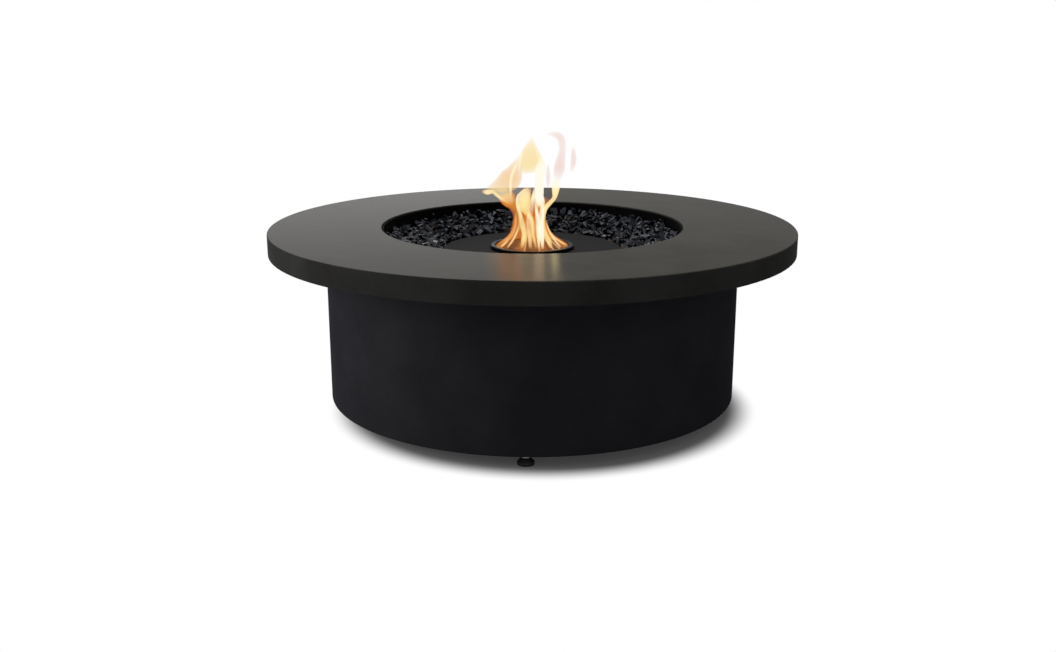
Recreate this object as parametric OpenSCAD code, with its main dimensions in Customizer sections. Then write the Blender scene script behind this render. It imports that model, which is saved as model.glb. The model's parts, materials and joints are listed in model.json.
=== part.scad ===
// Ethanol fire pit table: a round cast top on a cast drum, with a burner plate and burner that lift
// out of a sunk tray of black fire glass, and four screw feet.
// Millimetres, +Z up, origin on the floor under the middle of the table.

/* [Table] */
// Height of the table with its feet as drawn
table_h = 437; // [415:1:480]
// Diameter of the tabletop
top_d = 1263; // [1180:1:1360]
// Thickness of the tabletop
top_t = 50; // [44:1:60]
// Rounding of the tabletop's outer edges
top_edge_r = 2; // [1:0.5:8]
// Diameter of the fire opening
hole_d = 728; // [714:1:736]
// Rounding of the opening's upper edge
hole_edge_r = 2; // [2:0.5:9]

/* [Base drum] */
// Outer diameter of the drum
drum_d = 995; // [984:1:1080]
// Wall of the drum
drum_wall = 18; // [14:1:22]
// Rounding of the drum's cast edges
drum_edge_r = 3; // [1:0.5:6]
// Reach of the two inward flanges
flange_w = 50; // [46:1:54]
// Thickness of the flange under the tabletop
top_flange_t = 30; // [22:1:40]
// Thickness of the flange over the feet
foot_flange_t = 42; // [40:1:60]
// Slope that blends each flange into the wall
haunch = 18; // [8:1:22]
// Thickness of the bedding ring between drum and top
bedding_t = 2; // [1:0.5:4]
// Width of the bedding ring
bedding_w = 28; // [16:1:32]
// Distance from the drum's face to the bedding ring
bedding_inset = 8; // [4:1:10]

/* [Tray] */
// Sheet thickness of the tray
tray_t = 2; // [1.5:0.5:3]
// Gap between the tray and the opening
tray_gap = 2; // [1:0.5:4]
// Depth of the tray's rim below the tabletop
tray_set = 3; // [3:1:14]
// Depth of the tray's floor below the tabletop
tray_depth = 95; // [90:1:104]
// Inner radius of the sheet bends
bend_r = 3; // [2:0.5:4]
// Outer diameter of the well that takes the burner
well_d = 294; // [240:1:320]
// Depth of the well below the tray's floor
well_depth = 82; // [74:1:110]
// Sheet thickness of the well
well_t = 1.5; // [1:0.5:3]
// Width of the well's flange
well_flange_w = 28; // [20:1:30]
// Diameter of the drain holes in the well
drain_d = 8; // [5:1:12]

/* [Burner plate] */
// Diameter of the plate
plate_d = 440; // [420:1:470]
// Thickness of the plate
plate_t = 3; // [2:0.5:5]
// Depth of the plate below the tabletop
plate_set = 58; // [50:1:64]
// Height of the turned-down rim under the plate
skirt_h = 7; // [4:1:10]
// Distance from the plate's edge in to its support ring
ring_inset = 14; // [8:1:18]
// Sheet thickness of the support ring
ring_t = 2; // [1.5:0.5:3]
// Foot width of the support ring
ring_foot_w = 16; // [10:1:20]

/* [Burner] */
// Outer diameter of the rolled rim
rim_d = 204; // [200:1:220]
// Diameter of the burner's mouth
mouth_d = 178; // [160:1:179]
// Height of the rim above the plate
rim_h = 9; // [7:0.5:14]
// Rounding of the rim
rim_r = 3; // [1:0.5:3]
// Outer diameter of the can
can_d = 190; // [186:1:192]
// Height of the burner
burner_h = 115; // [105:1:120]
// Sheet thickness of the can
can_t = 1.5; // [1:0.1:2]
// Sheet thickness of the fuel cup
cup_t = 1.2; // [0.8:0.1:1.6]
// Air gap between can and cup
jacket_gap = 2; // [1.5:0.5:3]
// Air gap under the fuel cup
cup_gap = 6; // [3:1:10]
// Thickness of the ceramic wick pad
wick_t = 48; // [30:1:60]
// Height of the flame arrester
arrester_h = 17; // [10:1:20]
// Sheet thickness of the flame arrester
arrester_t = 1.5; // [1:0.1:2]
// Diameter of the holes in the flame arrester
vent_d = 7; // [4:0.5:10]

/* [Fire glass] */
// Depth of the glass at the wall, measured from the tabletop
glass_set = 13; // [10:1:24]
// Height of the glass over the plate at the plate's edge
glass_rise = 6; // [2:1:12]
// Height of the glass over the plate halfway to the wall
glass_half = 21; // [16:1:26]
// Thickness of the glass layer
glass_t = 24; // [14:1:26]
// Width of one shard's place
shard_w = 22.5; // [20:0.5:40]
// Least height of a shard as a share of the layer
shard_low = 0.4; // [0.3:0.05:0.6]
// Greatest height of a shard as a share of the layer
shard_high = 0.9; // [0.7:0.05:1]
// Seed of the shards' shapes
shard_seed = 11; // [1:1:99]

/* [Feet] */
// Height of the drum above the floor
foot_gap = 26; // [26:1:34]
// Distance from the drum's face in to a foot's axis
foot_inset = 31; // [28:1:36]
// Diameter of the pad
pad_d = 38; // [30:1:46]
// Height of the pad without its sole
pad_h = 11.5; // [11:0.5:12]
// Thickness of the rubber sole
sole_t = 3; // [2:0.5:3]
// Thread diameter of the stud
stud_d = 10; // [8:1:12]
// Length of thread inside the drum
stud_grip = 32; // [24:1:33]
// Ball diameter of the stud
ball_d = 11; // [10:0.5:12]
// Width across the flats of the stud's collar
collar_af = 17; // [15:1:22]
// Thickness of the collar
collar_h = 6; // [4:0.5:6]

/* [Fasteners] */
// Number of bolts between drum and top
top_bolts = 8; // [6:1:12]
// Thread diameter of those bolts
top_bolt_d = 10; // [8:1:12]
// Number of tray hangers
hangers = 6; // [4:1:8]
// Width of a hanger
hanger_w = 40; // [30:1:60]
// Thickness of a hanger
hanger_t = 4; // [3:0.5:5]
// Thread diameter of the hanger bolts
hanger_bolt_d = 8; // [6:1:10]
// Thread diameter of the studs welded under the tray
weld_stud_d = 6; // [5:1:8]
// Number of rivets in the well's flange
rivets = 6; // [4:1:12]
// Rivet diameter
rivet_d = 5; // [4:0.5:6]

/* [Hidden] */
$fn = 96;

// Clearances
cast_gap = 0.05; // cast-in bush in its pocket
thread_gap = 0.06; // threaded stud in its bush
hole_gap = 0.5; // bolt or rivet in its hole
seat_gap = 0.3; // curved faces that sit next to each other
drop_gap = 2; // burner in the plate's hole
rest_gap = 0.3; // shard above the fill
shard_gap = 0.5; // half the gap between shards
ball_gap = 0.1; // ball in its socket
lug_gap = 0.6; // plate lugs in the support ring
cut = 1; // how far a cutter runs past a face

// Levels
z_slab = table_h - top_t;
z_drum_top = z_slab - bedding_t;
z_tray_rim = table_h - tray_set;
z_tray = table_h - tray_depth;
z_plate = table_h - plate_set;
z_plate_under = z_plate - plate_t;
z_rim = z_plate + rim_h;
z_well = z_tray - well_depth;

// Radii
top_r = top_d / 2;
opening_r = hole_d / 2;
drum_r = drum_d / 2;
drum_in_r = drum_r - drum_wall;
flange_r = drum_in_r - flange_w;
tray_r = opening_r - tray_gap;
tray_in_r = tray_r - tray_t;
well_r = well_d / 2;
well_hole_r = well_r + hole_gap;
plate_r = plate_d / 2;
ring_r = plate_r - ring_inset;
ring_in_r = ring_r - ring_t;
foot_r = drum_r - foot_inset;

// Standard heads, as multiples of the thread
hex_af = 1.65; // across the flats
hex_head = 0.64; // height of a bolt's head
hex_nut = 0.8; // height of a nut
washer_od = 2;
rivet_head_d = 1.8;
rivet_head_h = 0.35;

// Drum bolts
bolt_edge = 18; // bolt axis from the flange's inner edge
top_bolt_r = flange_r + bolt_edge;
top_bolt_turn = 22.5;
washer_t = 2;
bush_wall = 3; // wall of a cast-in bush round its thread
top_grip = 22; // thread of a drum bolt in the slab
bush_extra = 4; // bush beyond the end of its bolt

// Tray hangers
leg_gap = 8; // tray wall to the hanger's leg
leg_r = tray_r + leg_gap;
hanger_foot = 40; // reach of the hanger under the tray
hanger_head = 44; // reach of the hanger under the slab
hanger_bolt_out = 28; // bolt axis from the leg
hanger_bolt_r = leg_r + hanger_bolt_out;
hanger_grip = 20;
weld_stud_in = 17; // weld stud's axis from the tray's wall
weld_stud_r = tray_r - weld_stud_in;
weld_stud_l = 16;
hanger_turn = 30;

// Well
drains = 4;
drain_r = 60;
rivet_r = well_r + well_flange_w / 2;

// Burner
can_r = can_d / 2;
can_in_r = can_r - can_t;
cup_r = can_in_r - jacket_gap;
cup_in_r = cup_r - cup_t;
z_can = z_rim - burner_h;
lip_t = 5.8; // thickness of the rim's inward lip
z_cup_flange = z_rim - lip_t - cup_t;
z_cup = z_can + can_t + cup_gap;
z_wick = z_cup + cup_t;
z_arrester = z_wick + wick_t;
arrester_r = cup_in_r - drop_gap;
vent_rings = 4; // rings of holes round the middle one
vent_pitch = 18;
vent_in_ring = 6; // holes that each ring adds

// Plate lugs
lugs = 3;
lug_l = 14;
lug_t = 3;
lug_h = 14;
lug_turn = 90;

// Feet
feet = 4;
foot_turn = -90; // the first foot is at the front
z_pad = sole_t;
z_pad_top = z_pad + pad_h;
pad_edge_h = 3.5;
pad_top_d = 22;
socket_lip = 1.2; // pad above the ball's widest catch
neck_d = 7.2;
mouth_gap = 0.8; // neck in the socket's mouth
socket_r = ball_d / 2 + ball_gap;
socket_mouth_r = neck_d / 2 + mouth_gap;
z_ball = z_pad_top - socket_lip - sqrt(socket_r * socket_r - socket_mouth_r * socket_mouth_r);
collar_gap = 0.5;
z_collar = z_pad_top + collar_gap;
z_thread = z_collar + collar_h;
thread_end = 1; // chamfer at the stud's tip
foot_bush_wall = 4;
bush_collar_t = 2;
bush_collar_w = 3;
bush_deep = 6; // bush beyond the end of the stud
foot_bush_d = stud_d + 2 * foot_bush_wall;
foot_bush_h = stud_grip + bush_deep;
foot_collar_d = foot_bush_d + 2 * bush_collar_w;

// Fire glass
bed_in_r = plate_r + drop_gap;
bed_out_r = tray_in_r - seat_gap;
z_bed_in = z_plate + glass_rise - glass_t;
z_bed_out = table_h - glass_set - glass_t;
z_bed_half = z_plate + glass_half - glass_t;
shard_rows = floor((bed_out_r - bed_in_r) / shard_w);
row_w = (bed_out_r - bed_in_r) / shard_rows;
half_row = floor(shard_rows / 2);
bed_half_r = bed_in_r + half_row * row_w;
bed_slope = (z_bed_half - z_bed_in) / (bed_half_r - bed_in_r);
heap_slope = (z_bed_out - z_bed_half) / (bed_out_r - bed_half_r);
foot_pull = 0.36; // how far a shard's lower corners draw in
bound_sway = 0.3; // how far a bound between two shards moves along the row
peak_h = 48; // height at which a shard's sides would meet
peak_lean = 1.2; // how far that point lies off the middle
cut_tilt = 0.5; // steepest slope of the face that cuts a shard off

concrete_top = "#6b6a66";
concrete_base = "#2b2b2d";
black_sheet = "#161616";
plate_grey = "#3a3a3b";
steel = "#9a9da0";
brass_bush = "#b08d4a";
rubber_black = "#101010";

// Copies of a piece on a circle
module around(n, r, turn = 0) {
  for (i = [0 : n - 1])
    rotate([0, 0, turn + 360 * i / n])
      translate([r, 0, 0])
        children();
}

// Place of foot i: they follow anticlockwise from the first
module at_foot(i) {
  rotate([0, 0, foot_turn + 360 * (i - 1) / feet])
    translate([foot_r, 0, 0])
      children();
}

// Section from corner to corner, in radius and height
module block(x0, z0, x1, z1) {
  translate([x0, z0])
    square([x1 - x0, z1 - z0]);
}

// What a rounding takes off a corner: sx and sz point from the corner into the material
module corner_off(x, z, r, sx, sz) {
  translate([x, z])
    mirror([sx < 0 ? 1 : 0, 0])
      mirror([0, sz < 0 ? 1 : 0])
        difference() {
          translate([-cut, -cut])
            square(r + cut);
          translate([r, r])
            circle(r);
        }
}

// Quarter of a sheet bend about a centre: sx and sz point from the centre to the bend
module bend(x, z, r_in, t, sx, sz) {
  translate([x, z])
    mirror([sx < 0 ? 1 : 0, 0])
      mirror([0, sz < 0 ? 1 : 0])
        intersection() {
          difference() {
            circle(r_in + t);
            circle(r_in);
          }
          square(r_in + t);
        }
}

// Hexagon prism by its width across the flats
module hexagon(af, h) {
  cylinder(d = af / cos(30), h = h, $fn = 6);
}

// Head and shank of a hexagon bolt pointing up, with its seat at z = 0
module hex_bolt(d, l) {
  translate([0, 0, -hex_head * d])
    hexagon(hex_af * d, hex_head * d);
  cylinder(d = d, h = l);
}

// Washer below z = 0
module washer(d) {
  translate([0, 0, -washer_t])
    difference() {
      cylinder(d = washer_od * d, h = washer_t);
      translate([0, 0, -cut])
        cylinder(d = d + hole_gap, h = washer_t + 2 * cut);
    }
}

// Bush cast into the slab above z = 0, closed at its top
module blind_bush(d, l) {
  difference() {
    cylinder(d = d + 2 * bush_wall, h = l + bush_extra);
    translate([0, 0, -cut])
      cylinder(d = d + 2 * thread_gap, h = l + cut);
  }
}

// Pocket that a blind bush sits in
module bush_pocket(d, l) {
  translate([0, 0, -cut])
    cylinder(d = d + 2 * (bush_wall + cast_gap), h = l + bush_extra + cast_gap + cut);
}

module tabletop() {
  color(concrete_top)
    difference() {
      rotate_extrude()
        difference() {
          block(opening_r, z_slab, top_r, table_h);
          corner_off(top_r, table_h, top_edge_r, -1, -1);
          corner_off(top_r, z_slab, top_edge_r, -1, 1);
          corner_off(opening_r, table_h, hole_edge_r, 1, -1);
          corner_off(opening_r, z_slab, drum_edge_r, 1, 1);
        }
      around(top_bolts, top_bolt_r, top_bolt_turn)
        translate([0, 0, z_slab])
          bush_pocket(top_bolt_d, top_grip);
      around(hangers, hanger_bolt_r, hanger_turn)
        translate([0, 0, z_slab])
          bush_pocket(hanger_bolt_d, hanger_grip);
    }
}

module tabletop_inserts() {
  color(brass_bush)
    around(top_bolts, top_bolt_r, top_bolt_turn)
      translate([0, 0, z_slab])
        blind_bush(top_bolt_d, top_grip);
}

module tabletop_bolts() {
  color(steel)
    around(top_bolts, top_bolt_r, top_bolt_turn)
      translate([0, 0, z_drum_top - top_flange_t - washer_t])
        hex_bolt(top_bolt_d, washer_t + top_flange_t + bedding_t + top_grip);
}

module tabletop_washers() {
  color(steel)
    around(top_bolts, top_bolt_r, top_bolt_turn)
      translate([0, 0, z_drum_top - top_flange_t])
        washer(top_bolt_d);
}

module bedding_ring() {
  color(rubber_black)
    rotate_extrude()
      block(drum_r - bedding_inset - bedding_w, z_drum_top, drum_r - bedding_inset, z_slab);
}

// Cast drum with an inward flange at each end
module base_drum() {
  z_top_flange = z_drum_top - top_flange_t;
  z_foot_flange = foot_gap + foot_flange_t;
  haunch_r = drum_in_r - haunch;
  color(concrete_base)
    difference() {
      rotate_extrude()
        difference() {
          polygon([
            [drum_r, foot_gap],
            [drum_r, z_drum_top],
            [flange_r, z_drum_top],
            [flange_r, z_top_flange],
            [haunch_r, z_top_flange],
            [drum_in_r, z_top_flange - haunch],
            [drum_in_r, z_foot_flange + haunch],
            [haunch_r, z_foot_flange],
            [flange_r, z_foot_flange],
            [flange_r, foot_gap]
          ]);
          corner_off(drum_r, foot_gap, drum_edge_r, -1, 1);
          corner_off(drum_r, z_drum_top, drum_edge_r, -1, -1);
          corner_off(flange_r, z_drum_top, drum_edge_r, 1, -1);
          corner_off(flange_r, z_top_flange, drum_edge_r, 1, 1);
          corner_off(flange_r, z_foot_flange, drum_edge_r, 1, -1);
          corner_off(flange_r, foot_gap, drum_edge_r, 1, 1);
        }
      around(top_bolts, top_bolt_r, top_bolt_turn)
        translate([0, 0, z_top_flange - cut])
          cylinder(d = top_bolt_d + 2 * hole_gap, h = top_flange_t + 2 * cut);
      for (i = [1 : feet])
        at_foot(i) {
          translate([0, 0, foot_gap - cut])
            cylinder(d = foot_bush_d + 2 * cast_gap, h = foot_bush_h + cast_gap + cut);
          translate([0, 0, foot_gap - cut])
            cylinder(d = foot_collar_d + 2 * cast_gap, h = bush_collar_t + cast_gap + cut);
        }
    }
}

// Threaded bushes in the drum's underside, each with a collar
module foot_inserts() {
  color(brass_bush)
    for (i = [1 : feet])
      at_foot(i)
        translate([0, 0, foot_gap])
          difference() {
            union() {
              cylinder(d = foot_bush_d, h = foot_bush_h);
              cylinder(d = foot_collar_d, h = bush_collar_t);
            }
            translate([0, 0, -cut])
              cylinder(d = stud_d + 2 * thread_gap, h = foot_bush_h + 2 * cut);
          }
}

// Section of a hanger: foot under the tray, leg beside it, head under the slab
module hanger_section() {
  z_foot = z_tray - tray_t;
  z_bend = z_foot + bend_r;
  z_head = z_slab - hanger_t;
  leg_out = leg_r + hanger_t;
  block(leg_out - hanger_foot, z_foot - hanger_t, leg_r - bend_r, z_foot);
  bend(leg_r - bend_r, z_bend, bend_r, hanger_t, 1, -1);
  block(leg_r, z_bend, leg_out, z_head - bend_r);
  bend(leg_out + bend_r, z_head - bend_r, bend_r, hanger_t, -1, 1);
  block(leg_out + bend_r, z_head, leg_r + hanger_head, z_slab);
}

module tray_hangers() {
  color(steel)
    around(hangers, 0, hanger_turn)
      difference() {
        rotate([90, 0, 0])
          linear_extrude(hanger_w, center = true)
            hanger_section();
        translate([hanger_bolt_r, 0, z_slab - hanger_t - cut])
          cylinder(d = hanger_bolt_d + 2 * hole_gap, h = hanger_t + 2 * cut);
        translate([weld_stud_r, 0, z_tray - tray_t - hanger_t - cut])
          cylinder(d = weld_stud_d + 2 * hole_gap, h = hanger_t + 2 * cut);
      }
}

module hanger_inserts() {
  color(brass_bush)
    around(hangers, hanger_bolt_r, hanger_turn)
      translate([0, 0, z_slab])
        blind_bush(hanger_bolt_d, hanger_grip);
}

module hanger_bolts() {
  color(steel)
    around(hangers, hanger_bolt_r, hanger_turn)
      translate([0, 0, z_slab - hanger_t - washer_t])
        hex_bolt(hanger_bolt_d, washer_t + hanger_t + hanger_grip);
}

module hanger_washers() {
  color(steel)
    around(hangers, hanger_bolt_r, hanger_turn)
      translate([0, 0, z_slab - hanger_t])
        washer(hanger_bolt_d);
}

// Pressed pan that lines the opening, with a hole for the well
module media_tray() {
  color(black_sheet)
    difference() {
      rotate_extrude() {
        block(well_hole_r, z_tray - tray_t, tray_in_r - bend_r, z_tray);
        bend(tray_in_r - bend_r, z_tray + bend_r, bend_r, tray_t, 1, -1);
        block(tray_in_r, z_tray + bend_r, tray_r, z_tray_rim);
      }
      around(rivets, rivet_r)
        translate([0, 0, z_tray - tray_t - cut])
          cylinder(d = rivet_d + 2 * cast_gap, h = tray_t + 2 * cut);
    }
}

module tray_studs() {
  color(steel)
    around(hangers, weld_stud_r, hanger_turn)
      translate([0, 0, z_tray - tray_t - weld_stud_l])
        cylinder(d = weld_stud_d, h = weld_stud_l);
}

module tray_nuts() {
  nut_h = hex_nut * weld_stud_d;
  color(steel)
    around(hangers, weld_stud_r, hanger_turn)
      translate([0, 0, z_tray - tray_t - hanger_t - nut_h])
        difference() {
          hexagon(hex_af * weld_stud_d, nut_h);
          translate([0, 0, -cut])
            cylinder(d = weld_stud_d + 2 * thread_gap, h = nut_h + 2 * cut);
        }
}

// Rolled angle that carries the burner plate and holds the glass back
module plate_ring() {
  color(black_sheet)
    rotate_extrude() {
      block(ring_r - ring_foot_w, z_tray, ring_in_r - bend_r, z_tray + ring_t);
      bend(ring_in_r - bend_r, z_tray + ring_t + bend_r, bend_r, ring_t, 1, -1);
      block(ring_in_r, z_tray + ring_t + bend_r, ring_r, z_plate_under);
    }
}

module burner_well() {
  well_in_r = well_r - well_t;
  flange_out = well_r + well_flange_w;
  color(black_sheet)
    difference() {
      rotate_extrude() {
        block(0, z_well, well_in_r - bend_r, z_well + well_t);
        bend(well_in_r - bend_r, z_well + well_t + bend_r, bend_r, well_t, 1, -1);
        block(well_in_r, z_well + well_t + bend_r, well_r, z_tray + well_t);
        block(well_in_r, z_tray, flange_out, z_tray + well_t);
      }
      around(drains, drain_r)
        translate([0, 0, z_well - cut])
          cylinder(d = drain_d, h = well_t + 2 * cut);
      around(rivets, rivet_r)
        translate([0, 0, z_tray - cut])
          cylinder(d = rivet_d + 2 * cast_gap, h = well_t + 2 * cut);
    }
}

module well_rivets() {
  head_d = rivet_head_d * rivet_d;
  head_h = rivet_head_h * rivet_d;
  color(steel)
    around(rivets, rivet_r) {
      translate([0, 0, z_tray - tray_t - head_h])
        cylinder(d = head_d, h = head_h);
      translate([0, 0, z_tray - tray_t])
        cylinder(d = rivet_d, h = tray_t + well_t);
      translate([0, 0, z_tray + well_t])
        cylinder(d = head_d, h = head_h);
    }
}

// Fill under the glass, rising from the plate and steeper in its outer half
module lava_fill() {
  fill_in_r = ring_r + seat_gap;
  corner = bend_r + tray_t;
  color("#2a2422")
    rotate_extrude()
      polygon([
        [fill_in_r, z_tray],
        [bed_out_r - corner, z_tray],
        [bed_out_r, z_tray + corner],
        [bed_out_r, z_bed_out],
        [bed_half_r, z_bed_half],
        [bed_in_r, z_bed_in],
        [fill_in_r, z_bed_in]
      ]);
}

// Height of the fill's surface along one of its slopes, which meet halfway
function bed_z(r, slope) = z_bed_half + (r - bed_half_r) * slope;

// Corners of an angular shard inside its own place in a ring, no two alike. Its foot lies along the
// fill, its sides lean to a peak off its middle, and a tilted face cuts the peak off.
function shard_points(r0, r1, a0, a1, slope, seed) =
  let (
    v = rands(0, 1, 14, seed),
    am = (a0 + a1) / 2,
    out = [cos(am), sin(am)],
    corners = [[0, 0], [1, 0], [1, 1], [0, 1]],
    foot = [
      for (k = [0 : 3])
        let (
          r = r0 + (r1 - r0) * abs(corners[k][0] - foot_pull * v[k]),
          a = a0 + (a1 - a0) * abs(corners[k][1] - foot_pull * v[k + 4]),
          p = r * [cos(a), sin(a)]
        )
          [p[0], p[1], bed_z(p * out, slope) + rest_gap]
    ],
    mid = (foot[0] + foot[1] + foot[2] + foot[3]) / 4,
    lean = peak_lean * (r1 - r0),
    peak = mid + [lean * (v[8] - 0.5), lean * (v[9] - 0.5), peak_h],
    z_cut = mid[2] + glass_t * (shard_low + (shard_high - shard_low) * v[10]),
    tilt = cut_tilt * [2 * v[11] - 1, 2 * v[12] - 1, 0]
  )
  concat(foot, [
    for (f = foot)
      let (d = tilt * (f - peak))
        f + (peak - f) * (z_cut + d - f[2]) / (peak[2] - f[2] + d)
  ]);

// Faces of the shard whose first corner is point n
function shard_faces(n) = concat(
  [[n, n + 1, n + 2, n + 3], [n + 7, n + 6, n + 5, n + 4]],
  [for (i = [0 : 3]) [n + i, n + i + 4, n + (i + 1) % 4 + 4, n + (i + 1) % 4]]
);

// Every shard's corners, row by row from the plate to the wall, with uneven bounds along a row
function all_shards() = [
  for (row = [0 : shard_rows - 1])
    let (
      r0 = bed_in_r + row * row_w,
      count = floor(2 * PI * r0 / shard_w),
      step = 360 / count,
      sway = rands(-bound_sway, bound_sway, count, shard_seed + row),
      bounds = [for (i = [0 : count]) step * (i + sway[i % count])],
      gap_a = shard_gap / r0 * 180 / PI
    )
      for (i = [0 : count - 1])
        shard_points(
          r0 + shard_gap,
          r0 + row_w - shard_gap,
          bounds[i] + gap_a,
          bounds[i + 1] - gap_a,
          row < half_row ? bed_slope : heap_slope,
          shard_seed + 1000 * (row + 1) + i
        )
];

// Loose fire glass: one layer of shards lying on the fill
module fire_glass() {
  shards = all_shards();
  color("#0c0d0e")
    polyhedron(
      points = [for (s = shards) each s],
      faces = [for (k = [0 : len(shards) - 1]) each shard_faces(8 * k)]
    );
}

// Round plate with a turned-down rim and a hole for the burner
module burner_plate() {
  skirt_in = plate_r - plate_t - bend_r;
  color(plate_grey)
    rotate_extrude() {
      block(can_r + drop_gap, z_plate_under, skirt_in, z_plate);
      bend(skirt_in, z_plate_under - bend_r, bend_r, plate_t, 1, 1);
      block(plate_r - plate_t, z_plate_under - skirt_h, plate_r, z_plate_under - bend_r);
    }
}

// Lugs under the plate that centre it in its ring
module plate_lugs() {
  color(plate_grey)
    around(lugs, ring_in_r - lug_gap - lug_t, lug_turn)
      translate([0, -lug_l / 2, z_plate_under - lug_h])
        cube([lug_t, lug_l, lug_h]);
}

// Rolled rim: rests on the plate and caps the edges of the can and cup
module burner_rim() {
  mouth_r = mouth_d / 2;
  rim_out = rim_d / 2;
  color(black_sheet)
    rotate_extrude()
      difference() {
        block(mouth_r, z_plate, rim_out, z_rim);
        block(mouth_r - cut, z_plate - cut, can_r + seat_gap, z_rim - lip_t);
        corner_off(rim_out, z_rim, rim_r, -1, -1);
        corner_off(mouth_r, z_rim, rim_r, 1, -1);
      }
}

module burner_can() {
  color(steel)
    rotate_extrude() {
      block(0, z_can, can_in_r - bend_r, z_can + can_t);
      bend(can_in_r - bend_r, z_can + can_t + bend_r, bend_r, can_t, 1, -1);
      block(can_in_r, z_can + can_t + bend_r, can_r, z_cup_flange);
    }
}

// Fuel cup, hung by its flange from the top of the can
module fuel_cup() {
  color(steel)
    rotate_extrude() {
      block(0, z_cup, cup_in_r - bend_r, z_cup + cup_t);
      bend(cup_in_r - bend_r, z_cup + cup_t + bend_r, bend_r, cup_t, 1, -1);
      block(cup_in_r, z_cup + cup_t + bend_r, cup_r, z_cup_flange + cup_t);
      block(cup_in_r, z_cup_flange, can_r, z_cup_flange + cup_t);
    }
}

module ceramic_wick() {
  color("#d9d4c8")
    translate([0, 0, z_wick])
      cylinder(r = cup_in_r - bend_r, h = wick_t);
}

// Perforated cap over the wick
module flame_arrester() {
  arrester_in = arrester_r - arrester_t;
  z_deck = z_arrester + arrester_h - arrester_t;
  color(steel)
    difference() {
      rotate_extrude() {
        block(0, z_deck, arrester_r, z_deck + arrester_t);
        block(arrester_in, z_arrester, arrester_r, z_deck);
      }
      translate([0, 0, z_deck - cut])
        cylinder(d = vent_d, h = arrester_t + 2 * cut);
      for (ring = [1 : vent_rings])
        around(vent_in_ring * ring, vent_pitch * ring)
          translate([0, 0, z_deck - cut])
            cylinder(d = vent_d, h = arrester_t + 2 * cut);
    }
}

// Stud with a ball end in the pad, a collar for a spanner and a thread in the drum
module foot_stud() {
  thread_l = foot_gap + stud_grip - z_thread;
  color(steel) {
    translate([0, 0, z_ball])
      sphere(d = ball_d);
    translate([0, 0, z_ball])
      cylinder(d = neck_d, h = z_collar - z_ball);
    translate([0, 0, z_collar])
      hexagon(collar_af, collar_h);
    translate([0, 0, z_thread])
      cylinder(d = stud_d, h = thread_l - thread_end);
    translate([0, 0, z_thread + thread_l - thread_end])
      cylinder(d1 = stud_d, d2 = stud_d - 2 * thread_end, h = thread_end);
  }
}

// Domed pad with the socket that holds the stud's ball
module foot_pad() {
  color(black_sheet)
    difference() {
      rotate_extrude()
        polygon([
          [0, z_pad],
          [pad_d / 2, z_pad],
          [pad_d / 2, z_pad + pad_edge_h],
          [pad_top_d / 2, z_pad_top],
          [0, z_pad_top]
        ]);
      translate([0, 0, z_ball])
        sphere(r = socket_r);
      translate([0, 0, z_ball])
        cylinder(r = socket_mouth_r, h = z_pad_top - z_ball + cut);
    }
}

module foot_sole() {
  color(rubber_black)
    cylinder(d = pad_d, h = sole_t);
}

module foot_stud_1() { at_foot(1) foot_stud(); }
module foot_stud_2() { at_foot(2) foot_stud(); }
module foot_stud_3() { at_foot(3) foot_stud(); }
module foot_stud_4() { at_foot(4) foot_stud(); }
module foot_pad_1() { at_foot(1) foot_pad(); }
module foot_pad_2() { at_foot(2) foot_pad(); }
module foot_pad_3() { at_foot(3) foot_pad(); }
module foot_pad_4() { at_foot(4) foot_pad(); }
module foot_sole_1() { at_foot(1) foot_sole(); }
module foot_sole_2() { at_foot(2) foot_sole(); }
module foot_sole_3() { at_foot(3) foot_sole(); }
module foot_sole_4() { at_foot(4) foot_sole(); }

tabletop();
tabletop_inserts();
tabletop_bolts();
tabletop_washers();
bedding_ring();
base_drum();
foot_inserts();
tray_hangers();
hanger_inserts();
hanger_bolts();
hanger_washers();
media_tray();
tray_studs();
tray_nuts();
plate_ring();
burner_well();
well_rivets();
lava_fill();
fire_glass();
burner_plate();
plate_lugs();
burner_rim();
burner_can();
fuel_cup();
ceramic_wick();
flame_arrester();
foot_stud_1();
foot_stud_2();
foot_stud_3();
foot_stud_4();
foot_pad_1();
foot_pad_2();
foot_pad_3();
foot_pad_4();
foot_sole_1();
foot_sole_2();
foot_sole_3();
foot_sole_4();
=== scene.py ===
"""Low round fire table: a concrete slab on a drum, with black glass round a lift-out ethanol burner."""

import itertools
import json
import math
import random

import bmesh
import bpy
from mathutils import Euler, Matrix, Vector


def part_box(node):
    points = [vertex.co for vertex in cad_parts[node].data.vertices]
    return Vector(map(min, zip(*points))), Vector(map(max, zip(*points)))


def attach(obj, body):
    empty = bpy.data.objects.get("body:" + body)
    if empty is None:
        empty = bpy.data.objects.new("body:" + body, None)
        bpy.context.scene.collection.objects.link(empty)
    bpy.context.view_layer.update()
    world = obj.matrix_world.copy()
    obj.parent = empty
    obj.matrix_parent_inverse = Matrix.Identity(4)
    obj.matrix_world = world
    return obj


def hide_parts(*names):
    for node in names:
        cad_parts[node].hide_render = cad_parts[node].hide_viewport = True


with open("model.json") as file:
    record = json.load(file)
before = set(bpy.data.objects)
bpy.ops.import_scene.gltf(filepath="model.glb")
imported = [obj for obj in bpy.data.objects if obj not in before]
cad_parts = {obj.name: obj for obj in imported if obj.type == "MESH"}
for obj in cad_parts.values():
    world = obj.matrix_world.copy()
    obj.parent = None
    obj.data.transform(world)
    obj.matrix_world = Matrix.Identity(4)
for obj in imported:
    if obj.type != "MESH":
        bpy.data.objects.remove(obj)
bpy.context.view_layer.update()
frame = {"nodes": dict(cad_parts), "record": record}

MM = 0.001
FULL_TURN = 2 * math.pi
nodes = frame["nodes"]

# Camera

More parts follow.
